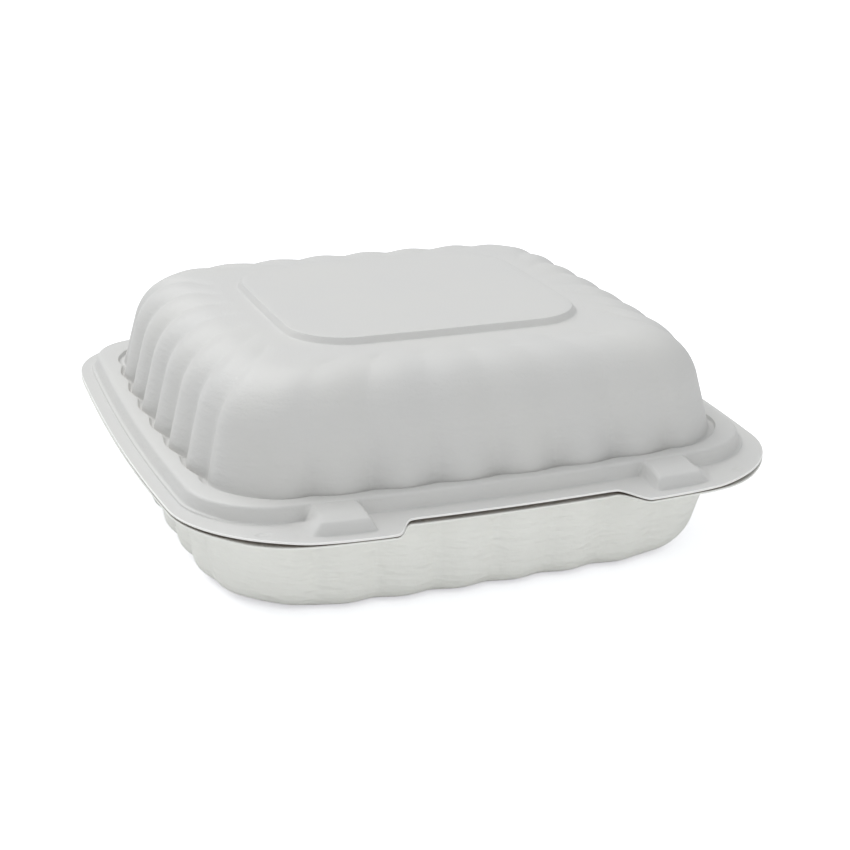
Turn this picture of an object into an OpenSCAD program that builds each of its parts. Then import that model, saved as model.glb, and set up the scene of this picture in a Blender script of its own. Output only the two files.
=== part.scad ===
// Three-compartment clamshell food container: a thin moulded tray with two dividers, a fluted
// domed lid, and the living hinge that joins them along the back. Millimetres, +Z up, the locks
// face -Y, and the origin lies under the middle of the closed container, on the table.

/* [Overall] */
// Width over the rims, from side to side
width = 211; // [190:1:240]
// Depth from the lock tabs at the front to the back of the hinge
depth = 210.5; // [190:0.5:240]
// Height of the tray, from the table to the top of its rim
tray_height = 36; // [30:0.5:48]
// Height of the lid, from the top of its rim to the top of the raised panel
lid_height = 41; // [34:0.5:55]
// Thickness of the moulded sheet
sheet = 0.7; // [0.5:0.05:0.9]
// How far each side of the rims bows out at its middle
side_bow = 6; // [0:0.5:9]
// How far each side of the dome and of the tray's walls bows out at its middle
body_bow = 8.8; // [0:0.2:10]

/* [Rims] */
// Corner radius of the rims
rim_corner = 37; // [30:1:42]
// Flat rim outside the bead, along the sides
side_rim = 5.5; // [4:0.5:9]
// Flat rim outside the bead, along the front between the lock tabs
front_rim = 8.4; // [6:0.2:12]
// Flat rim outside the bead, along the hinge
back_rim = 4.5; // [3.5:0.5:8]
// Gap between the two rims when the lid is shut
rim_gap = 0.5; // [0.3:0.1:1]

/* [Beads] */
// Height of the raised bead round the lid
bead_height = 5; // [4:0.2:7]
// Width of the lid's bead at the sides, from its outer foot to its inner edge
bead_width = 6; // [5.4:0.2:8]
// Width of the lid's bead at the front
front_bead = 4.4; // [4.2:0.2:7]
// Width of the lid's bead along the hinge
back_bead = 4.4; // [4.2:0.2:7]
// Corner radius of the bead, at its outer foot and its inner edge alike
bead_corner = 25; // [20:1:30]
// How deep the bead's inner edge is scalloped
bead_scallop = 1.5; // [0:0.1:1.8]
// Depth of the shelf between the bead and the dome, below the bead's top
shelf_drop = 1.2; // [0.8:0.1:2]
// Running clearance between the tray's bead or lugs and the lid over them
bead_clearance = 0.5; // [0.3:0.1:0.8]

/* [Flutes] */
// Number of flutes along the front and along the back
front_flutes = 6; // [4:1:8]
// Number of flutes along each side
side_flutes = 6; // [4:1:8]
// Depth of the grooves between the flutes
flute_depth = 2.4; // [0:0.1:3.2]

/* [Dome] */
// Corner radius of the dome's foot, where the last flutes end
dome_corner = 28; // [26:0.5:31]
// How far the dome's corners are cut back from a round one
dome_cut = 1.6; // [0:0.1:2.5]
// Draft of the dome's walls, in degrees
dome_draft = 15; // [8:0.5:16]
// Radius of the dome's shoulder
dome_shoulder = 22; // [14:0.5:24]
// Rise of the dome's top from the shoulder to the panel
dome_crown = 0.3; // [0:0.1:3]
// Width of the raised panel on top
panel_width = 103.4; // [90:1:110]
// Depth of the raised panel on top
panel_depth = 93; // [80:1:100]
// Corner radius of the raised panel
panel_corner = 19; // [12:1:26]
// Height of the raised panel's step
panel_step = 2.8; // [1:0.1:4]

/* [Locks] */
// Distance of each lock from the middle
lock_spread = 56.4; // [50:0.5:62]
// Width of a lock's box on the lid, at its foot
lock_width = 18; // [15:0.5:22]
// How far a lock's box stands out from the bead's outer foot
lock_reach = 12.5; // [9:0.5:14]
// How far the rims' lock tabs stand out past the front rim between them
tab_reach = 8; // [6:0.2:10]
// Distance of the inner end of each lock tab from the middle
tab_start = 41.2; // [36:0.5:45]

/* [Tray] */
// Draft of the tray's walls, in degrees
tray_draft = 9; // [6:0.5:14]
// Corner radius of the tray's walls at the rim
tray_corner = 22; // [18:1:26]
// Corner radius of the tray's walls at the base
base_corner = 33; // [26:1:34]
// Radius between the tray's walls and its base
base_round = 9; // [7:0.5:14]
// Height of the dividers above the table
divider_height = 25; // [18:0.5:27]
// Width of a divider's rounded crest
divider_crest = 5; // [4:0.5:8]
// Draft of a divider's flanks, in degrees
divider_draft = 12; // [8:1:16]
// Distance of the cross divider behind the middle of the tray
divider_offset = 6; // [0:1:20]

/* [Hinge] */
// Length of the living hinge
hinge_length = 120; // [90:5:120]

/* [Hidden] */

flute_steps = 4;
corner_steps = 5;
web_radius = rim_gap / 2 + sheet;
hinge_y = depth / 2 - web_radius;
hinge_z = tray_height + rim_gap / 2;
lid_base = tray_height + rim_gap + sheet;

front_line = -depth / 2 + tab_reach;
foot_x = width / 2 - side_rim;
foot_front = front_line + front_rim;
foot_back = hinge_y - back_rim;
body_x = foot_x - bead_width;
body_front = foot_front + front_bead;
body_back = foot_back - back_bead;
body_y = (body_front + body_back) / 2;
body_depth = body_back - body_front;
jog_length = 5;
jog_reach = 14;
tab_bow = side_bow / (depth / 2) * pow((tab_start + 1.5 * jog_length) / (width / 2), 2);
tab_line = body_y - (depth / 2 + body_y) / (1 - tab_bow);
tray_bead_height = bead_height - shelf_drop - bead_clearance;
lock_draft = 10;
lock_root = 3.4;
lock_slope = 0.8;
lock_height = bead_height - 0.4;
lug_height = tray_bead_height - 0.2;
tray_wall_row = 4;
tray_inset = -0.3;
corner_ease = 0.02;
diagonal = sqrt(2) - 1;

// How far a flute's surface lies between its groove, 0, and its crest, 1, at a share of its width
function scallop(share) = 1 - pow(2 * share - 1, 2);

// The same in a corner: it rises from the last groove like half a flute and then stays up
function corner_scallop(share) =
    let (rise = min(share, 1 - share) / 0.28) rise < 1 ? 1 - pow(1 - rise, 2) : 1;

// Stations round a loop: [side or corner, place along it, outward turn in degrees, flute height, share of
// a corner's cut]. A place runs from -1 to 1 along a side, and from 0 to 1 round a corner.
function side_stations(turn, flutes) =
    [for (i = [0 : flutes * flute_steps])
        let (share = i / (flutes * flute_steps), part = share * flutes)
        [0, 2 * share - 1, turn, scallop(part - floor(part)), 0]];

function corner_stations(turn) =
    [for (i = [1 : corner_steps - 1])
        let (share = i / corner_steps)
        [1, share, turn + 90 * share, corner_scallop(share), sin(180 * share)]];

stations = concat(
    side_stations(-90, front_flutes), corner_stations(-90),
    side_stations(0, side_flutes), corner_stations(0),
    side_stations(90, front_flutes), corner_stations(90),
    side_stations(180, side_flutes), corner_stations(180));
around = len(stations);

// A ring row is [outline, z, tilt, groove, bow, cut]: the outline is [half width, front, back, corner
// radius], the groove [inwards, downwards] is what a groove's bottom takes off, the bow is [all round,
// share of it at the back], and the cut is what a corner's middle loses. tilt is the angle of the upper
// surface: 0 looks up, 90 outwards and -90 inwards.
function outline(half, front, back, inset, corner) = [half - inset, front + inset, back - inset, corner];

function rim_ring() =
    [outline(width / 2, tab_line, hinge_y, 0, rim_corner), 0, 0, [0, 0], [side_bow, 0], 0];

function foot_ring(inset, z, tilt) =
    [outline(foot_x, foot_front, foot_back, inset, bead_corner - inset), z, tilt, [0, 0], [side_bow, 1], 0];

function body_outline(inset, corner) = outline(body_x, body_front, body_back, inset, corner);

function edge_ring(inset, z, tilt) =
    [body_outline(inset, dome_corner - inset), z, tilt, [bead_scallop, 0], [body_bow, 1],
        diagonal * (bead_corner - dome_corner)];

function dome_ring(inset, z, tilt, groove, cut) =
    [body_outline(inset, dome_corner - inset * (1 - corner_ease * inset)), z, tilt,
        [groove * sin(tilt), groove * cos(tilt)], [body_bow, 1], cut];

function tray_ring(inset, z, tilt, groove) =
    let (corner = dome_corner - inset - 0.15 * z,
        full_corner = tray_corner - (base_corner - tray_corner) * z / tray_height)
    [body_outline(inset, corner), z, -tilt, [groove * sin(tilt), -groove * cos(tilt)], [body_bow, 1],
        diagonal * (full_corner - corner)];

function panel_ring(inset, z, tilt) =
    let (front = body_y - panel_depth / 2, back = body_y + panel_depth / 2)
    [outline(panel_width / 2, front, back, inset, panel_corner - inset), z, tilt, [0, 0], [body_bow, 1], 0];

// The same row on the underside, one sheet below the upper surface
function underside(row, drop = sheet) =
    let (out = drop * sin(row[2]), flat = row[0])
    [outline(flat[0], flat[1], flat[2], out, flat[3] - out), row[1] - drop * cos(row[2]), row[2], row[3],
        row[4], row[5]];

// The front edge of the rims steps back between the two lock tabs, along a smooth jog
function jog(x) =
    let (share = max(0, min(1, (tab_start + jog_length / 2 - abs(x)) / jog_length)))
    share * share * (3 - 2 * share);

function bowed(p, bow) =
    let (far_x = p[0] / (width / 2), far_y = (p[1] - body_y) / (depth / 2),
        x_bow = bow[0] / (width / 2), y_bow = bow[0] / (depth / 2) * (p[1] > body_y ? bow[1] : 1))
    [p[0] * (1 - x_bow * far_y * far_y), body_y + (p[1] - body_y) * (1 - y_bow * far_x * far_x)];

function sign_of(value) = value < 0 ? -1 : 1;

// One station's point in plan on a ring row: a point of the rectangle through the corners' centres,
// and from there outwards by the corner radius, less the groove
function plan_point(row, s) =
    let (flat = row[0], corner = flat[3], half_x = flat[0] - corner,
        front = flat[1] + corner, back = flat[2] - corner,
        out_x = cos(s[2]), out_y = sin(s[2]),
        in_corner = s[0] == 1, on_end = abs(out_y) > 0.5,
        core_x = in_corner ? half_x * sign_of(out_x) : on_end ? -s[1] * half_x * out_y : half_x * out_x,
        core_y = in_corner || on_end ? (out_y < 0 ? front : back)
            : (front + back) / 2 + s[1] * out_x * (back - front) / 2,
        out = corner - row[3][0] * (1 - s[3]) - row[5] * s[4])
    [core_x + out_x * out, core_y + out_y * out];

function ring_points(row, base) =
    [for (s = stations)
        let (p = bowed(plan_point(row, s), row[4]))
        [p[0], p[1], base + row[1] - row[3][1] * (1 - s[3])]];

// On the rims' front edge the stations gather at the jogs, which step back between the lock tabs
function gathered(x) =
    let (off = abs(x) - tab_start)
    abs(off) < jog_reach ? sign_of(x) * (tab_start + off * abs(off) / jog_reach) : x;

function rim_points(row, base) =
    [for (s = stations)
        let (flat = plan_point(row, s),
            in_front = s[2] == -90 && s[0] == 0,
            p = bowed([in_front ? gathered(flat[0]) : flat[0], flat[1]], row[4]),
            step = in_front ? (front_line - tab_line) * jog(p[0]) : 0)
        [p[0], p[1] + step, base + row[1]]];

function upper_rings(rows, base) =
    [for (i = [0 : len(rows) - 1]) i == 0 ? rim_points(rows[i], base) : ring_points(rows[i], base)];

function lower_rings(rows, base) = upper_rings([for (row = rows) underside(row)], base);

// Quads, as two triangles each, between rings that follow each other in the list
function band_faces(rings) =
    [for (r = [0 : rings - 2], i = [0 : around - 1])
        let (a = r * around + i, b = r * around + (i + 1) % around)
        each [[a, b, b + around], [a, b + around, a + around]]];

// A closed sheet: down the upper rings from the rim to the middle, and back out underneath
module moulded_sheet(rows, base) {
    upper = upper_rings(rows, base);
    lower = lower_rings(rows, base);
    last = len(rows) - 1;
    middle_up = [0, body_y, upper[last][0][2]];
    middle_down = [0, body_y, lower[last][0][2]];
    rings = concat([for (i = [last : -1 : 0]) upper[i]], lower);
    points = concat([for (ring = rings) each ring], [middle_up, middle_down]);
    top_fan = [for (i = [0 : around - 1]) [len(points) - 2, (i + 1) % around, i]];
    end = (len(rings) - 1) * around;
    bottom_fan = [for (i = [0 : around - 1]) [len(points) - 1, end + i, end + (i + 1) % around]];
    polyhedron(points = points, faces = concat(top_fan, band_faces(len(rings)), bottom_fan));
}

lid_rows = let (
    shelf = bead_height - shelf_drop,
    arc_end = lid_height - panel_step - dome_crown,
    arc_z = arc_end - dome_shoulder,
    wall_end = arc_z + dome_shoulder * sin(dome_draft),
    foot_inset = 1,
    arc_inset = foot_inset + (wall_end - shelf) * tan(dome_draft) + dome_shoulder * cos(dome_draft))
    [
        rim_ring(),
        foot_ring(0, 0, 25),
        foot_ring(1.2, bead_height * 0.5, 55),
        foot_ring(2.4, bead_height * 0.88, 25),
        edge_ring(0, bead_height, -15),
        edge_ring(0.5, shelf, -45),
        dome_ring(foot_inset, shelf, 70, flute_depth, dome_cut * 0.5),
        for (turn = [90 - dome_draft : (dome_draft - 90) / 3 : -0.1])
            dome_ring(arc_inset - dome_shoulder * sin(turn), arc_z + dome_shoulder * cos(turn), turn,
                flute_depth * (0.2 + 0.8 * sin(turn)), dome_cut),
        dome_ring(arc_inset + 7, arc_end + dome_crown * 0.5, 2, flute_depth * 0.06, dome_cut),
        panel_ring(-1.2, lid_height - panel_step, 25),
        panel_ring(0, lid_height, 30)
    ];

// The upper, inner surface of the tray
tray_rows = let (
    arc_z = sheet + base_round - tray_height,
    wall_end = arc_z - base_round * sin(tray_draft),
    arc_inset = tray_inset - wall_end * tan(tray_draft) + base_round * cos(tray_draft))
    [
        rim_ring(),
        foot_ring(sheet + bead_clearance, 0, 40),
        foot_ring(sheet + bead_clearance + 1.5, tray_bead_height * 0.95, 25),
        tray_ring(tray_inset - tray_bead_height * tan(tray_draft), tray_bead_height, 35, flute_depth * 0.3),
        tray_ring(tray_inset + 7 * tan(tray_draft), -7, 90 - tray_draft, flute_depth),
        for (turn = [90 - tray_draft : (tray_draft - 90) / 3 : -0.1])
            tray_ring(arc_inset - base_round * sin(turn), arc_z - base_round * cos(turn), turn,
                flute_depth * sin(turn))
    ];

// A lock's back edge, [behind the bead's outer foot, height]: it joins the bead's slope from inside and
// stays clear of the tray's bead below
function lock_back(inset, high, low) =
    [[lock_root - 1.1 + inset, low], [lock_root + 0.1 + inset, bead_height * 0.44],
        [lock_root + 2.2 - inset / 2, bead_height * 0.52], [lock_root + 2.2 - inset / 2, high]];

// A hollow's back edge
function hollow_back(behind, high, low) = [[behind, low], [behind, high]];

// Both locks as solids, inset from the outline of the lid's boxes: the slope is seen from the side,
// the draft from the front
module lock_forms(base, inset, high, low, back) {
    front = foot_front - lock_reach + inset;
    half = lock_width / 2 - inset;
    lean = high * tan(lock_draft);
    slope = concat(
        [for (p = back) [foot_front + p[0], p[1]]],
        [[front + high * 0.5, high - lock_slope], [front + high * 0.15, high * 0.55]],
        [[front, 0], [front, low]]);
    face = [[-half, low], [half, low], [half, 0], [half - lean, high], [lean - half, high], [-half, 0]];
    for (side = [-1, 1])
        translate([side * lock_spread, 0, base])
            intersection() {
                rotate([90, 0, 90]) linear_extrude(lock_width, center = true) polygon(slope);
                rotate([90, 0, 0]) linear_extrude(depth, center = true) polygon(face);
            }
}

// A divider across the tray's section: a rounded crest on two drafted flanks
function divider_section(round, low) =
    let (middle = divider_height - divider_crest / 2,
        foot = round * cos(divider_draft) + (middle + round * sin(divider_draft) - low) * tan(divider_draft))
    concat([[-foot, low]],
        [for (turn = [180 - divider_draft : (2 * divider_draft - 180) / 6 : divider_draft - 0.1])
            [round * cos(turn), middle + round * sin(turn)]],
        [[foot, low]]);

// Both dividers as one T: one across the tray and one from it to the hinge side
module divider_form(round, low) {
    rotate([90, 0, 90]) linear_extrude(width, center = true)
        translate([body_y + divider_offset, 0]) polygon(divider_section(round, low));
    translate([0, body_y + divider_offset, 0]) rotate([90, 0, 180]) linear_extrude(body_depth)
        polygon(divider_section(round, low));
}

// The tray's inside down to the middle of its sheet, which trims the dividers' ends
module tray_core() {
    core = [for (i = [tray_wall_row : len(tray_rows) - 1])
        ring_points(underside(tray_rows[i], sheet / 2), tray_height)];
    points = concat([for (ring = core) each ring],
        [[0, body_y, core[0][0][2]]], [[0, body_y, sheet / 2]]);
    end = (len(core) - 1) * around;
    top_fan = [for (i = [0 : around - 1]) [len(points) - 2, (i + 1) % around, i]];
    bottom_fan = [for (i = [0 : around - 1]) [len(points) - 1, end + i, end + (i + 1) % around]];
    polyhedron(points = points, faces = concat(top_fan, band_faces(len(core)), bottom_fan));
}

module tray() {
    lug_inset = sheet + bead_clearance;
    hollow_high = lug_height - sheet;
    color([0.93, 0.93, 0.90]) difference() {
        union() {
            moulded_sheet(tray_rows, tray_height);
            intersection() {
                divider_form(divider_crest / 2, sheet * 0.4);
                tray_core();
            }
            lock_forms(tray_height, lug_inset, lug_height, -sheet / 2,
                lock_back(lug_inset, lug_height, -sheet / 2));
        }
        divider_form(divider_crest / 2 - sheet, -1);
        lock_forms(tray_height, lug_inset + sheet, hollow_high, -2 * sheet,
            hollow_back(lock_root, hollow_high, -2 * sheet));
    }
}

module lid() {
    hollow_high = lock_height - sheet;
    color([0.80, 0.80, 0.79]) difference() {
        union() {
            moulded_sheet(lid_rows, lid_base);
            lock_forms(lid_base, 0, lock_height, -sheet / 2, lock_back(0, lock_height, -sheet / 2));
        }
        lock_forms(lid_base, sheet, hollow_high, -2 * sheet,
            hollow_back(lock_root + 1.2, hollow_high, -2 * sheet));
    }
}

module hinge_web() {
    color([0.86, 0.86, 0.84])
        translate([0, hinge_y, hinge_z]) rotate([0, 90, 0])
            rotate_extrude(angle = 180, $fn = 48)
                translate([rim_gap / 2, -hinge_length / 2]) square([sheet, hinge_length]);
}

tray();
lid();
hinge_web();
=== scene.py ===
import math

import bpy
import numpy as np
from mathutils import Matrix, Vector


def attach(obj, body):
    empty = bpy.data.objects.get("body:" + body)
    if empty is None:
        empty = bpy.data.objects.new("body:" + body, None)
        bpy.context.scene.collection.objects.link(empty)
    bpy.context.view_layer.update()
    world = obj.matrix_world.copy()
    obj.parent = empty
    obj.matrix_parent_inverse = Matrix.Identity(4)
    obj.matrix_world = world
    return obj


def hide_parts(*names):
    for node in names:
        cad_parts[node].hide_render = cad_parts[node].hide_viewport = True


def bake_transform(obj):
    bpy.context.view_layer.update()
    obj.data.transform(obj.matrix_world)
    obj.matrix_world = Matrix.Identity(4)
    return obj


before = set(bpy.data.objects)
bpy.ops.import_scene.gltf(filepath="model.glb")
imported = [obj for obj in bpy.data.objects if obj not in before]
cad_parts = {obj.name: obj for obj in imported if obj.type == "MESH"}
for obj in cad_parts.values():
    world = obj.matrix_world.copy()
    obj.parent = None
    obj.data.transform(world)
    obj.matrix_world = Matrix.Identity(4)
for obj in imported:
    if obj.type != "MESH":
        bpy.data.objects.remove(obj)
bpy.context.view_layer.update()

# Sizes in millimetres, as the CAD has them
WIDTH = 211.0
DEPTH = 210.5
TRAY_HEIGHT = 36.0
LID_HEIGHT = 41.0
SHEET = 0.7
RIM_GAP = 0.5
SIDE_BOW = 6.0  # how far the rims' sides fall back towards the corners
BODY_BOW = 8.8  # the same for the dome, the tray's walls and the panel

RIM_CORNER = 37.0
SIDE_RIM = 5.5
FRONT_RIM = 8.4
BACK_RIM = 4.5
BEAD_HEIGHT = 5.0
BEAD_WIDTH = 6.0
END_BEAD = 4.4  # the bead's width at the front and the back
BEAD_CORNER = 25.0
BEAD_SCALLOP = 1.5
SHELF_DROP = 1.2

FLUTES = 6  # on each side
FLUTE_DEPTH = 2.4
DOME_CORNER = 28.0
DOME_CORNER_EASE = 0.02
DOME_CUT = 1.6
DOME_DRAFT = 15.0
DOME_SHOULDER = 22.0
DOME_CROWN = 0.3
DOME_FOOT = 1.0
PANEL_WIDTH = 103.4
PANEL_DEPTH = 93.0
PANEL_CORNER = 19.0

LOCK_SPREAD = 56.4
LOCK_WIDTH = 18.0
LOCK_REACH = 12.5
LOCK_HEIGHT = 4.6
LOCK_SLOPE = 1.4
TAB_REACH = 8.0
TAB_START = 41.2

TRAY_DRAFT = 9.0
TRAY_CORNER = 22.0
BASE_CORNER = 33.0
BASE_ROUND = 9.0
TRAY_CORNER_EASE = 0.15
TRAY_INSET = -0.3
DIVIDER_HEIGHT = 25.0
DIVIDER_CREST = 5.0
DIVIDER_DRAFT = 12.0
DIVIDER_OFFSET = 6.0
HINGE_LENGTH = 120.0

# Sizes that only the looks need, or that are softer here than in the CAD
JOG_LENGTH = 8.5
PANEL_STEP = 2.2
RIM_FULLNESS = 2.6  # the rims' corners at the hinge are fuller than those at the front
FOOT_FULLNESS = 2.2
HINGE_BOW_SHARE = 0.72
LIP_HEIGHT = 0.62
LID_LIFT = 0.5
LOCK_PULL = 0.25
TRAY_SAG = 0.35
FRONT_FADE = 0.62  # how much of the front's flutes is lost at the shoulder
BEAD_START = -1.6  # where the flat of the lid's rim ends
FINE_LOCK_STEP = 0.26  # between the points at the walls of the lock boxes
DIMPLE_X = 3.0
DIMPLE_Y = 1.9
# Painted shade: the brown that creases and the gap between the rims darken towards, by ambient
# occlusion
PAINTED_CREVICE_SHADE = (0.17, 0.09, 0.045)

# Lock boxes and lugs: how steeply their walls rise, and how far their edges are rounded
LOCK_SIDE_RISE = 3.4
LOCK_FRONT_RISE = 3.2
LOCK_WALL_ROUND = 3.4
LOCK_TOP_ROUND = 2.2
LUG_HEIGHT = 3.0
LUG_RISE = 4
LUG_WALL_ROUND = 1.5
LUG_TOP_ROUND = 1.2
LUG_SIDE_GAP = 1.7
LUG_END_GAP = 1.6
LUG_HEM = 1.0  # how far a lug's sheet runs out beyond its walls
LUG_SINK = 0.3  # and how far that lies inside the tray's rim

# The dividers are joined to the tray as prisms, cut to a core that fills the tray
PRISM_SKIRT = 6.0
CORE_TOP = -6.0
RIDGE_REACH = 104
CHANNEL_REACH = 110

WEB_RADIUS = RIM_GAP / 2 + SHEET
HINGE_Y = DEPTH / 2 - WEB_RADIUS
HINGE_Z = TRAY_HEIGHT + RIM_GAP / 2
LID_BASE = TRAY_HEIGHT + RIM_GAP + SHEET
FRONT_LINE = -DEPTH / 2 + TAB_REACH
FOOT_X = WIDTH / 2 - SIDE_RIM
FOOT_FRONT = FRONT_LINE + FRONT_RIM
FOOT_BACK = HINGE_Y - BACK_RIM
BODY_X = FOOT_X - BEAD_WIDTH
BODY_FRONT = FOOT_FRONT + END_BEAD
BODY_BACK = FOOT_BACK - END_BEAD
MID_Y = (BODY_FRONT + BODY_BACK) / 2
TAB_BOW = SIDE_BOW / (DEPTH / 2) * ((TAB_START + JOG_LENGTH / 2) / (WIDTH / 2)) ** 2
TAB_LINE = MID_Y - (DEPTH / 2 + MID_Y) / (1 - TAB_BOW)
DIAGONAL = math.sqrt(2) - 1
FRONT_EVEN = WIDTH / 2 - RIM_CORNER
SHELF = BEAD_HEIGHT - SHELF_DROP

# Points along each side but the front, and from side to side round each corner
SIDE_POINTS = 85
CORNER_STEPS = 26

# The rims' rounded edge, as insets and heights
RIM_EDGE = [(0.0, -0.26), (0.05, -0.13), (0.16, -0.04), (0.3, 0.0)]


def smooth(value, start, end):
    t = np.clip((value - start) / (end - start), 0, 1)
    return t * t * (3 - 2 * t)


def softened(distance, soft):
    """A distance from a groove, rounded off near 0."""
    return np.sqrt(distance * distance + soft * soft) - soft


def scallop(share):
    """A flute's height between its groove, 0, and its crest, 1."""
    near = softened(np.minimum(share, 1 - share), 0.06)
    return 1 - (1 - 2 * near) ** 2


def front_places():
    """Places along the front, closer at the jogs and at the walls of the lock boxes."""
    x = np.linspace(-FRONT_EVEN, FRONT_EVEN, 4001)
    spacing = np.full_like(x, 1.7)
    off = abs(x)
    spacing[abs(off - TAB_START) < 6] = 0.6
    spacing[abs(off - LOCK_SPREAD) < LOCK_WIDTH / 2 + 1.5] = 0.9
    spacing[abs(abs(off - LOCK_SPREAD) - LOCK_WIDTH / 2 + 0.4) < 1.3] = FINE_LOCK_STEP
    steps = np.concatenate([[0], np.cumsum(np.diff(x) / spacing[1:])])
    return np.interp(np.linspace(0, steps[-1], int(steps[-1]) + 1), steps, x) / FRONT_EVEN


def stations():
    """Stations round a loop, from the front's left end, anticlockwise.

    Each has the direction that it faces, its place along its side, -1 to 1, or round its corner,
    0 to 1, whether it is at a corner, how deep it is in a groove, and how far it is into a corner.
    """
    turns, places, corners, heights, cuts = [], [], [], [], []
    share = np.arange(1, CORNER_STEPS) / CORNER_STEPS
    rise = softened(np.minimum(share, 1 - share) / 0.28, 0.1)
    for side in range(4):
        facing = 90 * side - 90
        along = front_places() if side == 0 else np.linspace(-1, 1, SIDE_POINTS)
        turns += [math.radians(facing)] * len(along) + list(np.radians(facing + 90 * share))
        places += list(along) + list(share)
        corners += [False] * len(along) + [True] * len(share)
        heights += list(scallop(((along + 1) / 2 * FLUTES) % 1.0))
        heights += list(np.where(rise < 1, 1 - (1 - rise) ** 2, 1))
        cuts += [0.0] * len(along) + list(np.sin(np.pi * share))
    return (np.array(turns), np.array(places), np.array(corners), 1 - np.array(heights),
            np.array(cuts))


TURN, PLACE, CORNER, GROOVE, CUT = stations()
AROUND = len(TURN)
OUT = np.stack([np.cos(TURN), np.sin(TURN)], 1)
ON_END = abs(OUT[:, 1]) > 0.5
ON_FRONT = ~CORNER & (OUT[:, 1] < -0.5)
TO_FRONT = np.clip(-OUT[:, 1], 0, 1) ** 2
FULLER = CUT ** 2 * (CORNER & (OUT[:, 1] > 0))


# Outlines in plan. An inset is measured inwards from the outline that each one names.
def outline(half, front, back, corner, out=0.0, even=False):
    """A rounded rectangle's points, pushed outwards by out.

    even keeps the front's points in line with those of the rim.
    """
    half_x, low, high = half - corner, front + corner, back - corner
    reach = np.full(AROUND, half_x)
    if even:
        at_end = smooth(abs(PLACE), 0.962, 1)
        reach = np.where(ON_FRONT, FRONT_EVEN + (half_x - FRONT_EVEN) * at_end, half_x)
    x = np.where(CORNER, half_x * np.sign(OUT[:, 0]),
                 np.where(ON_END, -PLACE * reach * OUT[:, 1], half_x * OUT[:, 0]))
    y = np.where(CORNER | ON_END, np.where(OUT[:, 1] < 0, low, high),
                 (low + high) / 2 + PLACE * OUT[:, 0] * (high - low) / 2)
    return np.stack([x, y], 1) + OUT * (corner + np.broadcast_to(out, AROUND))[:, None]


def bowed(plan, bow=SIDE_BOW, back_share=1.0):
    """Curves the four sides, which fall back by the bow towards the corners."""
    far_x, far_y = plan[:, 0] / (WIDTH / 2), (plan[:, 1] - MID_Y) / (DEPTH / 2)
    y_bow = bow / (DEPTH / 2) * np.where(plan[:, 1] > MID_Y, back_share, 1)
    at_hinge = (far_y > 0) & (bow == SIDE_BOW)
    x_bow = bow / (WIDTH / 2) * np.where(at_hinge, HINGE_BOW_SHARE, 1)
    return np.stack([plan[:, 0] * (1 - x_bow * far_y ** 2),
                     MID_Y + (plan[:, 1] - MID_Y) * (1 - y_bow * far_x ** 2)], 1)


def rim_plan(inset):
    """The rims' outer edge, straight at the hinge, which steps back between the lock tabs."""
    plan = outline(WIDTH / 2 - inset, TAB_LINE + inset, HINGE_Y - inset, RIM_CORNER - inset,
                   RIM_FULLNESS * FULLER)
    step = smooth(TAB_START + JOG_LENGTH / 2 - abs(plan[:, 0]), 0, JOG_LENGTH)
    plan = bowed(plan, SIDE_BOW, 0)
    plan[:, 1] += (FRONT_LINE - TAB_LINE) * np.where(ON_FRONT, step, 0)
    return plan


def foot_plan(inset):
    """The bead's outer foot."""
    return bowed(outline(FOOT_X - inset, FOOT_FRONT + inset, FOOT_BACK - inset,
                         BEAD_CORNER - inset, FOOT_FULLNESS * FULLER, even=True))


def body_plan(inset, corner, out=0.0):
    """The bead's inner edge, which the dome and the tray's walls start from."""
    return bowed(outline(BODY_X - inset, BODY_FRONT + inset, BODY_BACK - inset, corner, out),
                 BODY_BOW)


def panel_plan(inset):
    front = MID_Y - PANEL_DEPTH / 2
    return bowed(outline(PANEL_WIDTH / 2 - inset, front + inset, front + PANEL_DEPTH - inset,
                         PANEL_CORNER - inset), BODY_BOW)


# Rings: outlines with a height at each point
def ring(plan, z):
    return np.column_stack([plan, np.broadcast_to(z, AROUND)])


def edge_ring(inset, z):
    """The scalloped inner edge of the lid's bead."""
    out = -BEAD_SCALLOP * GROOVE - DIAGONAL * (BEAD_CORNER - DOME_CORNER) * CUT
    return ring(body_plan(inset, DOME_CORNER - inset, out), z)


def dome_ring(inset, z, lean, depth, cut):
    """The fluted dome. lean is the angle of its wall from level, depth that of its grooves."""
    corner = DOME_CORNER - inset * (1 - DOME_CORNER_EASE * inset)
    plan = body_plan(inset, corner, -depth * math.sin(lean) * GROOVE - cut * CUT)
    return ring(plan, z - depth * math.cos(lean) * GROOVE)


def tray_ring(inset, z, lean, depth):
    """The tray's fluted walls, whose corners grow rounder towards the base."""
    corner = DOME_CORNER - inset - TRAY_CORNER_EASE * z
    full = TRAY_CORNER - (BASE_CORNER - TRAY_CORNER) * z / TRAY_HEIGHT
    out = -depth * math.sin(lean) * GROOVE - DIAGONAL * (full - corner) * CUT
    return ring(body_plan(inset, corner, out), z + depth * math.cos(lean) * GROOVE)


def rim_rings(shares, foot, lift):
    """The rim's rounded edge, and its flat as far as the bead's foot."""
    rings = [ring(rim_plan(inset), z) for inset, z in RIM_EDGE]
    edge = rings[-1]
    rings += [edge + (foot - edge) * share for share in shares]
    return [raised(r, lift(r)) for r in rings]


def raised(points, rise):
    return np.column_stack([points[:, :2], points[:, 2] + rise])


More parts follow.
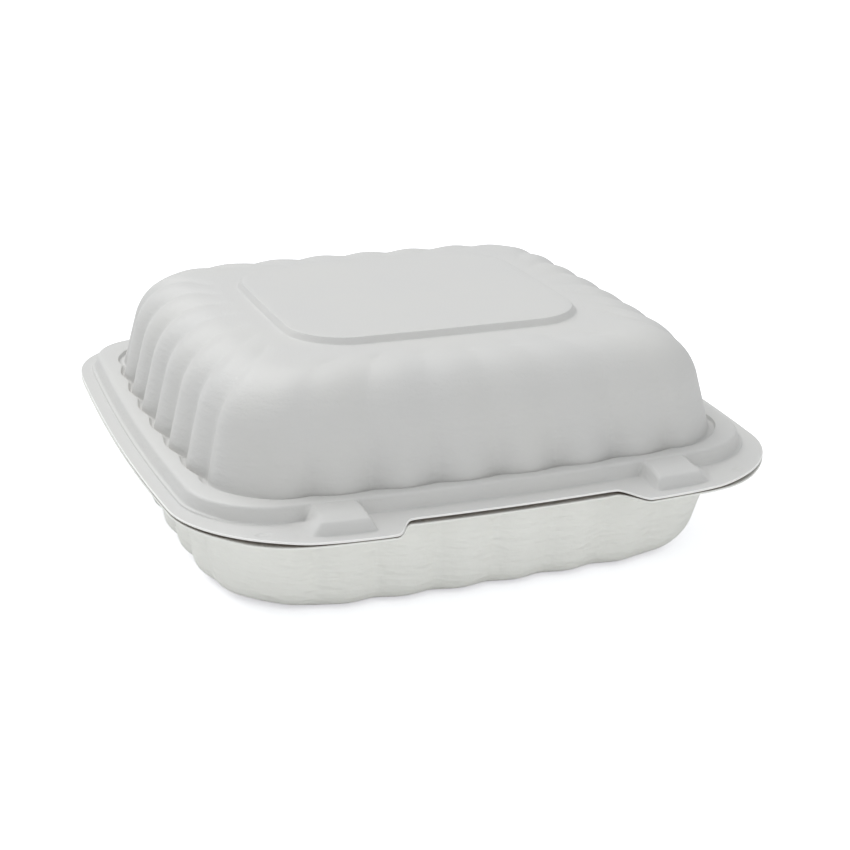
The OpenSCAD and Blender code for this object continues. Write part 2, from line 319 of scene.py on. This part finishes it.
def rounded(points, radii, step=0.5):
    """A polyline with an arc at each inner corner, of points at most a step apart."""
    points = [np.array(p, float) for p in points]
    path = [points[0]]
    for before, at, after, radius in zip(points, points[1:], points[2:], radii):
        a = (before - at) / np.linalg.norm(before - at)
        b = (after - at) / np.linalg.norm(after - at)
        angle = math.acos(max(-1, min(1, float(a @ b))))
        cut = radius / math.tan(angle / 2)
        centre = at + (a + b) / np.linalg.norm(a + b) * radius / math.sin(angle / 2)
        u, v = at + a * cut - centre, at + b * cut - centre
        turn = math.acos(max(-1, min(1, float(u @ v) / radius ** 2)))
        count = max(2, int(radius * turn / step) + 1)
        for i in range(count + 1):
            t = i / count
            arc = math.sin((1 - t) * turn) * u + math.sin(t * turn) * v
            path.append(centre + arc / math.sin(turn))
    path.append(points[-1])
    return path


def soft_min(a, b, radius):
    mix = np.clip(0.5 + 0.5 * (b - a) / radius, 0, 1)
    return b + (a - b) * mix - radius * mix * (1 - mix)


def soft_max(a, b, radius):
    return -soft_min(-a, -b, radius)


# Lock boxes
def lock_height(x, y, inset):
    """Height of the lock boxes over the rim, before the bow: a sloping top between steep walls."""
    front = FOOT_FRONT - LOCK_REACH + inset
    top = LOCK_HEIGHT - inset - LOCK_SLOPE * smooth(y, front + 9, front - 1)
    side_wall = (LOCK_WIDTH / 2 + 0.2 - inset - abs(abs(x) - LOCK_SPREAD)) * LOCK_SIDE_RISE
    front_wall = (y - front) * LOCK_FRONT_RISE
    walls = soft_min(side_wall, front_wall, LOCK_WALL_ROUND)
    return soft_min(walls, top, LOCK_TOP_ROUND)


def unbowed(plan):
    """Undoes the bow, closely enough for the locks, which lie in line with the bowed rim."""
    far_x = plan[:, 0] / (WIDTH / 2)
    y_share = 1 - SIDE_BOW / (DEPTH / 2) * far_x ** 2
    return plan[:, 0], MID_Y + (plan[:, 1] - MID_Y) / y_share


def with_locks(points, inset=0.0, radius=0.9):
    """Raises the points of a ring near the locks."""
    x, y = unbowed(points[:, :2])
    high = lock_height(x, y, inset)
    near = (y < FOOT_FRONT + 3.4) & (abs(abs(x) - LOCK_SPREAD) < LOCK_WIDTH / 2 + 3)
    z = np.where(near, soft_max(points[:, 2], high, radius), points[:, 2])
    return np.column_stack([points[:, :2], z])


# Where the sheet isn't quite flat
def off_locks(x):
    """1 between the locks and outside them, and 0 at the locks."""
    return np.maximum(smooth(abs(x), 41, 31), smooth(abs(x), 66, 80))


def tray_drop(r):
    """The tray's rim sags a little where the lid's rim stands off."""
    return -TRAY_SAG * smooth(r[:, 1], -88, -96) * off_locks(r[:, 0])


def lid_lift(r):
    """The lid's rim stands off at the front, and the locks pull it down."""
    at_lock = smooth(abs(abs(r[:, 0]) - 52), 16, 4)
    return smooth(r[:, 1], -60, -95) * (LID_LIFT * off_locks(r[:, 0]) - LOCK_PULL * at_lock)


def with_lip(r, inset):
    """A low step along the bead's outer foot, at the sides and the back."""
    at_sides = smooth(abs(r[:, 0]), 84, 92) * smooth(r[:, 1], -86, -70)
    where = np.maximum(at_sides, smooth(r[:, 1], 70, 90))
    step = LIP_HEIGHT * float(smooth(inset, -1.02, -0.74) * (1 - smooth(inset, 0.2, 1.7)))
    return raised(r, step * where)


# Meshes
def normals(rings):
    """Upward normals of a grid of rings, from its neighbours' places."""
    p = np.array(rings)
    along = np.roll(p, -1, 1) - np.roll(p, 1, 1)
    across = np.empty_like(p)
    across[1:-1] = p[2:] - p[:-2]
    across[0], across[-1] = p[1] - p[0], p[-1] - p[-2]
    n = np.cross(along, across)
    n /= np.maximum(np.linalg.norm(n, axis=2, keepdims=True), 1e-9)
    return n


def underside(rings, up, with_boxes=0):
    """The rings one sheet below. The first with_boxes of them follow the hollow lock boxes."""
    lower = []
    for k, r in enumerate(rings):
        if k < len(RIM_EDGE):
            lower.append(raised(r, -2 * RIM_EDGE[k][1] - SHEET))
        elif k < with_boxes:
            lower.append(with_locks(r - up[k] * SHEET, SHEET + 0.1, 0.5))
        else:
            lower.append(r - up[k] * SHEET)
    return lower


def add_piece(name, mesh):
    piece = bpy.data.objects.new(name, mesh)
    bpy.context.scene.collection.objects.link(piece)
    return piece


def sheet_mesh(name, upper, lower, base, centre_up, centre_down, bright=()):
    """One closed mesh: upper rings from the rim to the middle, and lower rings, joined at the rim.

    bright lists the rings that the material paints paler, as a painted highlight along the rim's
    edge.
    """
    rings = upper[::-1] + lower
    points = np.concatenate(rings + [[centre_up], [centre_down]])
    points[:, 2] += base
    i = np.arange(AROUND)
    j = (i + 1) % AROUND
    quads = np.concatenate([np.stack([start + i, start + j, start + j + AROUND,
                                      start + i + AROUND], 1)
                            for start in range(0, (len(rings) - 1) * AROUND, AROUND)])
    up, down, end = len(points) - 2, len(points) - 1, (len(rings) - 1) * AROUND
    fans = np.concatenate([np.stack([np.full(AROUND, up), j, i], 1),
                           np.stack([np.full(AROUND, down), end + i, end + j], 1)])
    mesh = bpy.data.meshes.new(name)
    mesh.from_pydata((points / 1000).tolist(), [], quads.tolist() + fans.tolist())
    mesh.validate()
    mesh.shade_smooth()
    if bright:
        values = np.zeros(len(points), np.float32)
        for number in bright:
            values[number * AROUND:(number + 1) * AROUND] = 1
        mesh.attributes.new("bright", "FLOAT", "POINT").data.foreach_set("value", values)
    return add_piece(name, mesh)


# Lid
def lid_bead():
    """The raised bead, which is narrower at the front and the back."""
    top = [(0.1, 0), (2.0, BEAD_HEIGHT - 0.25), (4.4, BEAD_HEIGHT)]
    profile = [(inset, 0) for inset in (BEAD_START, -1.05, -0.98, -0.86, -0.74)]
    profile += [q for q in rounded([(-1.2, 0)] + top, [1.0, 1.7], 0.35) if q[0] > -0.6]
    rings = []
    for inset, z in profile:
        wide = ring(foot_plan(inset), z)
        narrow = ring(foot_plan(min(inset, 0) + max(inset, 0) * 0.72), z)
        at_ends = smooth(abs(wide[:, 1] - MID_Y), 60, 85)[:, None]
        rings.append(with_lip(wide + (narrow - wide) * at_ends, inset))
    return rings


def lid_edge():
    """The bead's scalloped edge, down to the shelves in the grooves."""
    down = [(-0.9, BEAD_HEIGHT), (0.0, BEAD_HEIGHT - 0.02), (0.35, SHELF)]
    profile = rounded(down, [0.22], 0.12)[:-1] + [(0.42, SHELF + 0.12), (0.55, SHELF)]
    return [edge_ring(inset, z) for inset, z in profile]


def lid_groove(t, fade=1.0):
    """Grooves are deepest at the foot, t 0, and soft towards the front's shoulder, t 1."""
    at_front = FRONT_FADE * TO_FRONT * smooth(t, 0.1, 1.0)
    return FLUTE_DEPTH * fade * (1.05 + 0.4 * (1 - t) ** 2) * (1 - at_front)


def lid_dome():
    """The drafted wall, the rounded shoulder, the slightly crowned top and the raised panel."""
    start = math.radians(90 - DOME_DRAFT)
    draft = math.tan(math.radians(DOME_DRAFT))
    arc_end = LID_HEIGHT - PANEL_STEP - DOME_CROWN
    arc_z = arc_end - DOME_SHOULDER
    wall_end = arc_z + DOME_SHOULDER * math.cos(start)
    arc_inset = DOME_FOOT + (wall_end - SHELF) * draft + DOME_SHOULDER * math.sin(start)

    rings = [dome_ring(DOME_FOOT + inset, SHELF + rise, start, lid_groove(0), DOME_CUT * 0.5)
             for inset, rise in ((-0.12, 0.02), (0.05, 0.2))]
    for t in np.linspace(0.06, 1, 12)[:-1]:
        z = SHELF + (wall_end - SHELF) * t
        rings.append(dome_ring(DOME_FOOT + (z - SHELF) * draft, z, start, lid_groove(t),
                               DOME_CUT * (0.5 + 0.5 * t)))
    for lean in np.linspace(start, 0, 19):
        rings.append(dome_ring(arc_inset - DOME_SHOULDER * math.sin(lean),
                               arc_z + DOME_SHOULDER * math.cos(lean), lean,
                               lid_groove(1, 0.2 + 0.8 * math.sin(lean)), DOME_CUT))
    shoulder = dome_ring(arc_inset, arc_end, 0, 0, DOME_CUT)
    top_edge = ring(panel_plan(-2.2), LID_HEIGHT - PANEL_STEP)
    for t in (0.12, 0.25, 0.4, 0.55, 0.7, 0.85):
        r = shoulder + (top_edge - shoulder) * t
        groove = 0.2 * FLUTE_DEPTH * (1 - smooth(t, 0, 0.62)) * GROOVE
        r[:, 2] = arc_end + DOME_CROWN * (2 * t - t * t) - groove
        rings.append(r)

    step = [(-2.4, LID_HEIGHT - PANEL_STEP), (-1.2, LID_HEIGHT - PANEL_STEP + 0.05),
            (0.4, LID_HEIGHT - 0.02), (3.0, LID_HEIGHT)]
    panel = rounded(step, [0.8, 0.5], 0.2) + [(12.0, LID_HEIGHT), (18.0, LID_HEIGHT)]
    return rings + [ring(panel_plan(inset), z) for inset, z in panel]


def make_lid():
    shares = [0.02, 0.05, 0.09, 0.13, 0.17, 0.19, 0.21, 0.23, 0.25, 0.27, 0.29,
              0.31, 0.34, 0.38, 0.43, 0.49, 0.56, 0.63, 0.70, 0.77, 0.83]
    rim = rim_rings(shares, ring(foot_plan(BEAD_START), 0.0), lid_lift) + lid_bead()
    inner = lid_edge() + lid_dome()
    upper = [with_locks(r) for r in rim] + inner
    lower = underside(rim + inner, normals(rim + inner), len(rim))
    # Every second ring is enough below, past the rim's edge
    lower = [r for k, r in enumerate(lower)
             if k < len(RIM_EDGE) or k % 2 == 0 or k == len(lower) - 1]
    # The rings of the rim's rounded edge, which the material pales as a painted highlight
    painted_highlight = range(len(upper) - len(RIM_EDGE), len(upper) + 2)
    middle = np.array([0, MID_Y, LID_HEIGHT])
    return sheet_mesh("lid_sheet", upper, lower, LID_BASE, middle, middle - [0, 0, SHEET], painted_highlight)


# Tray
def tray_rings():
    """The tray's upper, inner surface, from the rim to the base."""
    bead_top = SHELF - 0.5
    foot = SHEET + 0.5
    rings = rim_rings([0.03, 0.1, 0.2, 0.35, 0.5, 0.65, 0.8, 0.92],
                      ring(foot_plan(foot - 1.2), 0.0), tray_drop)
    bead = [(foot - 1.2, 0), (foot, 0), (foot + 1.3, bead_top - 0.1), (foot + 1.9, bead_top)]
    rings += [ring(foot_plan(inset), z) for inset, z in rounded(bead, [1.0, 0.5], 0.4)]

    start = math.radians(90 - TRAY_DRAFT)
    draft = math.tan(math.radians(TRAY_DRAFT))
    arc_z = SHEET + BASE_ROUND - TRAY_HEIGHT
    wall_end = arc_z - BASE_ROUND * math.cos(start)
    arc_inset = TRAY_INSET - wall_end * draft + BASE_ROUND * math.sin(start)
    rings.append(tray_ring(TRAY_INSET - bead_top * draft - 0.2, bead_top, start,
                           FLUTE_DEPTH * 0.3))
    for z in (bead_top - 0.3, bead_top - 1.2, 0.5, -1.5, -4.0, -7.0, -10.0, -13.0, -16.0, -19.0,
              -22.0, -24.5):
        share = 0.3 + 0.7 * float(smooth(z, bead_top, -7))
        rings.append(tray_ring(TRAY_INSET - z * draft, z, start, FLUTE_DEPTH * share))
    for lean in np.linspace(start, 0, 15):
        rings.append(tray_ring(arc_inset - BASE_ROUND * math.sin(lean),
                               arc_z - BASE_ROUND * math.cos(lean), lean,
                               FLUTE_DEPTH * math.sin(lean)))
    return rings


def divider_section(half_crest, low, flare, below):
    """A divider's section: a rounded crest on drafted flanks that flare out to the base."""
    lean = math.tan(math.radians(DIVIDER_DRAFT))
    top = DIVIDER_HEIGHT - below
    half_foot = half_crest + (top - low) * lean
    points = [(half_foot + flare * 1.4, low), (half_foot, low), (half_crest + 0.6 * lean, top),
              (0, top + 0.15)]
    right = rounded(points, [flare, max(half_crest * 0.8, 0.9)], 0.4)
    return [tuple(p) for p in right] + [(-p[0], p[1]) for p in reversed(right[:-1])]


def prism(name, section, start, end, across):
    """A straight prism of a section. across is the way that its width runs: x or y."""
    low = min(z for _, z in section) - PRISM_SKIRT
    loop = section + [(section[-1][0], low), (section[0][0], low)]
    count = len(loop)
    line = MID_Y + DIVIDER_OFFSET
    points = [(at, line + offset, z) if across == "y" else (offset, at, z)
              for at in (start, end) for offset, z in loop]
    faces = [list(range(count)), list(range(2 * count - 1, count - 1, -1))]
    faces += [[(i + 1) % count, i, count + i, count + (i + 1) % count] for i in range(count)]
    mesh = bpy.data.meshes.new(name)
    mesh.from_pydata([(x / 1000, y / 1000, z / 1000) for x, y, z in points], [], faces)
    piece = add_piece(name, mesh)
    bpy.ops.object.select_all(action="DESELECT")
    bpy.context.view_layer.objects.active = piece
    piece.select_set(True)
    bpy.ops.object.mode_set(mode="EDIT")
    bpy.ops.mesh.select_all(action="SELECT")
    bpy.ops.mesh.normals_make_consistent(inside=False)
    bpy.ops.object.mode_set(mode="OBJECT")
    return piece


def combine(piece, other, operation):
    """Applies one boolean with the other object, and removes it."""
    step = piece.modifiers.new("combine", "BOOLEAN")
    step.operation, step.object, step.solver = operation, other, "EXACT"
    bpy.context.view_layer.objects.active = piece
    bpy.ops.object.modifier_apply(modifier=step.name)
    bpy.data.objects.remove(other)


def divider_prisms(section, reach):
    """The T of both dividers: one across the tray, and one from it to the back."""
    tee = prism("across", section, -reach, reach, "y")
    back = prism("back", section, MID_Y + DIVIDER_OFFSET, reach, "x")
    combine(tee, back, "UNION")
    return tee


def tray_core(rings, up):
    """A solid that fills the tray to the middle of its sheet, which the dividers are cut to."""
    low = [r - up[k] * SHEET * 0.5 for k, r in enumerate(rings) if r[0, 2] < CORE_TOP]
    rim = low[0]
    inner = np.column_stack([rim[:, 0] * 0.5, MID_Y + (rim[:, 1] - MID_Y) * 0.5, rim[:, 2]])
    return sheet_mesh("core", [rim, inner], low, TRAY_HEIGHT, np.array([0, MID_Y, rim[0, 2]]),
                      np.array([0, MID_Y, SHEET * 0.5 - TRAY_HEIGHT]))


def make_tray():
    rings = tray_rings()
    up = normals(rings)
    middle = np.array([0, MID_Y, SHEET - TRAY_HEIGHT])
    tray = sheet_mesh("tray_sheet", rings, underside(rings, up), TRAY_HEIGHT, middle,
                      middle - [0, 0, SHEET])
    half_crest = DIVIDER_CREST / 2 - 0.3
    ridges = divider_prisms(divider_section(half_crest, SHEET, 3.0, 0), RIDGE_REACH)
    combine(ridges, tray_core(rings, up), "INTERSECT")
    combine(tray, ridges, "UNION")
    hollow = divider_prisms(divider_section(half_crest - SHEET, 0.0, 2.6, SHEET), CHANNEL_REACH)
    combine(tray, hollow, "DIFFERENCE")
    tray.data.shade_smooth()
    return tray


def make_lug(side):
    """The tray's lug under one of the lid's lock boxes."""
    half_width = LOCK_WIDTH / 2 - LUG_SIDE_GAP
    half_depth = (LOCK_REACH - LUG_END_GAP) / 2
    u = np.linspace(-1, 1, 25)
    points, faces = [], []
    for b in u:
        for a in u:
            x, y = a * (half_width + LUG_HEM), b * (half_depth + LUG_HEM)
            walls = soft_min((half_width - abs(x)) * LUG_RISE, (y + half_depth) * LUG_RISE,
                             LUG_WALL_ROUND)
            points.append((x, y, max(soft_min(walls, LUG_HEIGHT, LUG_TOP_ROUND), -LUG_SINK)))
    count = len(u)
    for j in range(count - 1):
        for i in range(count - 1):
            a = j * count + i
            faces.append((a, a + 1, a + count + 1, a + count))
    centre_x = side * LOCK_SPREAD
    centre_y = bowed(np.array([[centre_x, FOOT_FRONT - LOCK_REACH / 2 + 1.4]]))[0][1]
    bow_slope = 2 * SIDE_BOW / (DEPTH / 2) * LOCK_SPREAD / (WIDTH / 2) ** 2
    slope = side * bow_slope * (MID_Y - FOOT_FRONT)
    mesh = bpy.data.meshes.new("lug")
    mesh.from_pydata([((centre_x + x) / 1000, (centre_y + y + slope * x) / 1000,
                       (TRAY_HEIGHT + z) / 1000) for x, y, z in points], [], faces)
    mesh.shade_smooth()
    return add_piece("tray_lug_" + ("right" if side > 0 else "left"), mesh)


def make_hinge():
    """The bent strip of sheet behind both rims."""
    along = np.linspace(-HINGE_LENGTH / 2, HINGE_LENGTH / 2, 41)
    section = []
    for radius, angles in ((WEB_RADIUS, np.linspace(-90, 90, 15)),
                           (RIM_GAP / 2, np.linspace(90, -90, 9))):
        section += [(radius * math.cos(math.radians(a)), radius * math.sin(math.radians(a)))
                    for a in angles]
    points = [(x / 1000, (HINGE_Y + y) / 1000, (HINGE_Z + z) / 1000)
              for x in along for y, z in section]
    count = len(section)
    faces = []
    for r in range(len(along) - 1):
        for i in range(count):
            a, b = r * count + i, r * count + (i + 1) % count
            faces.append((a, a + count, b + count, b))
    faces += [tuple(range(count)), tuple(len(points) - 1 - i for i in range(count))]
    mesh = bpy.data.meshes.new("hinge_strip")
    mesh.from_pydata(points, [], faces)
    mesh.shade_smooth()
    return add_piece("hinge_strip", mesh)


# Materials
def opaque(color):
    return (*color, 1)


def add_node(tree, kind, inputs=(), **settings):
    """Adds a shader node. inputs maps its sockets to constants or to the outputs that feed them."""
    node = tree.nodes.new("ShaderNode" + kind)
    for name, value in settings.items():
        setattr(node, name, value)
    for socket, value in dict(inputs).items():
        if isinstance(value, bpy.types.NodeSocket):
            tree.links.new(value, node.inputs[socket])
        else:
            node.inputs[socket].default_value = value
    return node


def dimple(tree, place, x, y):
    """A small oval hollow at x, y, as a height for the bump."""
    spot = add_node(tree, "Mapping", {
        "Vector": place, "Location": (-x / DIMPLE_X, -y / DIMPLE_Y, 0),
        "Scale": (1000 / DIMPLE_X, 1000 / DIMPLE_Y, 0)}, vector_type="POINT")
    length = add_node(tree, "VectorMath", {0: spot.outputs["Vector"]}, operation="LENGTH")
    near = add_node(tree, "MapRange", interpolation_type="SMOOTHSTEP", inputs={
        "Value": length.outputs["Value"], "From Min": 0.35, "From Max": 1.0,
        "To Min": -1.3, "To Max": 0.0})
    return near.outputs["Result"]


def sheet_material(name, color, ripple, warm, edge, dimples=()):
    """Moulded, slightly fibrous sheet: fine grain, a wavy ripple on the walls, satin gloss."""
    material = bpy.data.materials.new(name)
    material.use_nodes = True
    tree = material.node_tree
    place = add_node(tree, "TexCoord").outputs["Object"]

    def noise(scale, detail, stretch=(1, 1, 1)):
        mapping = add_node(tree, "Mapping", {"Vector": place, "Scale": stretch})
        return add_node(tree, "TexNoise", {"Vector": mapping.outputs["Vector"], "Scale": scale,
                                           "Detail": detail}).outputs["Fac"]

    def maths(operation, *values):
        return add_node(tree, "Math", enumerate(values), operation=operation).outputs[0]

    def mixed(factor, a, b):
        return add_node(tree, "Mix", {"Factor": factor, "A": a, "B": b},
                        data_type="RGBA").outputs["Result"]

    # Walls are where the normal lies flat: there the ripple of the former's screen shows
    normal = add_node(tree, "NewGeometry").outputs["Normal"]
    level = add_node(tree, "SeparateXYZ", {0: normal}).outputs["Z"]
    upright = maths("SUBTRACT", 1.0, maths("POWER", level, 2.0))
    grain = maths("MULTIPLY", noise(1100.0, 3.0), 0.35)
    waves = maths("MULTIPLY", noise(330.0, 1.5, (0.5, 0.5, 1.7)), upright)
    height = maths("ADD", grain, maths("MULTIPLY", waves, ripple))
    for x, y in dimples:
        height = maths("ADD", height, dimple(tree, place, x, y))
    bump = add_node(tree, "Bump", {"Height": height, "Strength": 0.6, "Distance": 0.0004})

    # The rim's edge rings get a paler painted highlight, and painted shade darkens creases and the
    # gap between the rims towards brown, where ambient occlusion is high
    cloud = maths("MULTIPLY_ADD", noise(28.0, 2.0), 0.8, 0.1)
    base = mixed(cloud, opaque([c * 0.97 for c in color]), opaque(warm))
    # Painted highlight: the rings listed as bright take the edge colour
    painted_highlight = add_node(tree, "Attribute", attribute_name="bright").outputs["Fac"]
    base = mixed(painted_highlight, base, opaque(edge))
    # Painted shade: ambient occlusion within 3 mm mixes in the brown
    crevice = add_node(tree, "AmbientOcclusion", {"Distance": 0.003}, samples=8)
    open_share = add_node(tree, "MapRange", {
        "Value": crevice.outputs["AO"], "From Min": 0.05, "From Max": 0.4}).outputs["Result"]
    base = mixed(open_share, opaque(PAINTED_CREVICE_SHADE), base)

    shader = tree.nodes["Principled BSDF"]
    shader.inputs["Roughness"].default_value = 0.5
    shader.inputs["Specular IOR Level"].default_value = 0.4
    tree.links.new(base, shader.inputs["Base Color"])
    tree.links.new(bump.outputs["Normal"], shader.inputs["Normal"])
    return material


# Stage
def make_floor():
    """White to the camera, with the object's own soft shadow."""
    bpy.ops.mesh.primitive_plane_add(size=8, location=(0, 0, -0.0002))
    floor = bpy.context.active_object
    floor.name = "floor"
    paint = bpy.data.materials.new("floor")
    paint.use_nodes = True
    tree = paint.node_tree
    tree.nodes.clear()
    path = add_node(tree, "LightPath")
    gain = add_node(tree, "Math", {0: path.outputs["Is Camera Ray"], 1: 0.55},
                    operation="MULTIPLY")
    diffuse = add_node(tree, "BsdfDiffuse", {"Color": (0.88, 0.88, 0.88, 1)})
    glow = add_node(tree, "Emission", {"Color": (0.95, 0.96, 1.0, 1),
                                       "Strength": gain.outputs[0]})
    total = add_node(tree, "AddShader", {0: diffuse.outputs[0], 1: glow.outputs[0]})
    add_node(tree, "OutputMaterial", {"Surface": total.outputs[0]})
    floor.data.materials.append(paint)
    return floor


def make_world():
    """A soft, even sky, which the camera sees as white."""
    world = bpy.data.worlds.new("studio")
    bpy.context.scene.world = world
    world.use_nodes = True
    tree = world.node_tree
    tree.nodes.clear()
    path = add_node(tree, "LightPath")
    sky = add_node(tree, "Background", {"Color": (0.96, 0.98, 1.0, 1), "Strength": 0.5})
    white_sky = add_node(tree, "Background", {"Color": (1, 1, 1, 1), "Strength": 1.0})
    pick = add_node(tree, "MixShader", {"Fac": path.outputs["Is Camera Ray"],
                                        1: sky.outputs[0], 2: white_sky.outputs[0]})
    add_node(tree, "OutputWorld", {"Surface": pick.outputs[0]})


def add_sun(name, strength, angle, direction):
    light = bpy.data.lights.new(name, "SUN")
    light.energy, light.angle = strength, math.radians(angle)
    lamp = bpy.data.objects.new(name, light)
    lamp.rotation_euler = Vector(direction).to_track_quat("-Z", "Y").to_euler()
    bpy.context.scene.collection.objects.link(lamp)


def make_camera(place, azimuth, elevation, roll, focal_pixels, photo_pixels):
    """A camera whose angles, in degrees, and focal length were fitted to the square photograph."""
    azimuth, elevation, roll = map(math.radians, (azimuth, elevation, roll))
    forward = Vector((math.sin(azimuth) * math.cos(elevation),
                      math.cos(azimuth) * math.cos(elevation), -math.sin(elevation)))
    right = Vector((math.cos(azimuth), -math.sin(azimuth), 0))
    up = right.cross(forward)
    right, up = (right * math.cos(roll) + up * math.sin(roll),
                 up * math.cos(roll) - right * math.sin(roll))
    data = bpy.data.cameras.new("camera")
    data.sensor_width = 36
    data.lens = focal_pixels / photo_pixels * data.sensor_width
    data.clip_start, data.clip_end = 0.01, 50
    camera = bpy.data.objects.new("camera", data)
    turned = Matrix((right, up, -forward)).transposed().to_4x4()
    camera.matrix_world = Matrix.Translation(place) @ turned
    bpy.context.scene.collection.objects.link(camera)
    return camera


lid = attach(make_lid(), "lid")
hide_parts("lid")
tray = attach(make_tray(), "tray")
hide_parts("tray")
lugs = [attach(make_lug(side), "tray") for side in (-1, 1)]
strip = make_hinge()
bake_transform(strip)
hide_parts("hinge_web")

# edge is the colour of the painted highlight along the rim's edge rings
grey = sheet_material("lid_sheet", color=(0.64, 0.64, 0.635), ripple=1.1,
                      warm=(0.655, 0.65, 0.625), edge=(0.88, 0.88, 0.86),
                      dimples=((-80.5, -93.6), (80.5, -93.6)))
white = sheet_material("tray_sheet", color=(0.90, 0.905, 0.86), ripple=3.0,
                       warm=(0.915, 0.915, 0.875), edge=(0.94, 0.94, 0.92))
lid.data.materials.append(grey)
for piece in [tray, strip] + lugs:
    piece.data.materials.clear()
    piece.data.materials.append(white)

floor = make_floor()
make_world()
add_sun("key", strength=2.0, angle=55, direction=(0.28, -0.7, -1.0))
add_sun("fill", strength=1.08, angle=80, direction=(-0.1, 1.0, -0.03))
bpy.context.scene.camera = make_camera((-0.204, -0.538, 0.243), azimuth=21.39, elevation=20.33,
                                       roll=0.85, focal_pixels=1704, photo_pixels=850)
bpy.context.scene.view_settings.view_transform = "Standard"
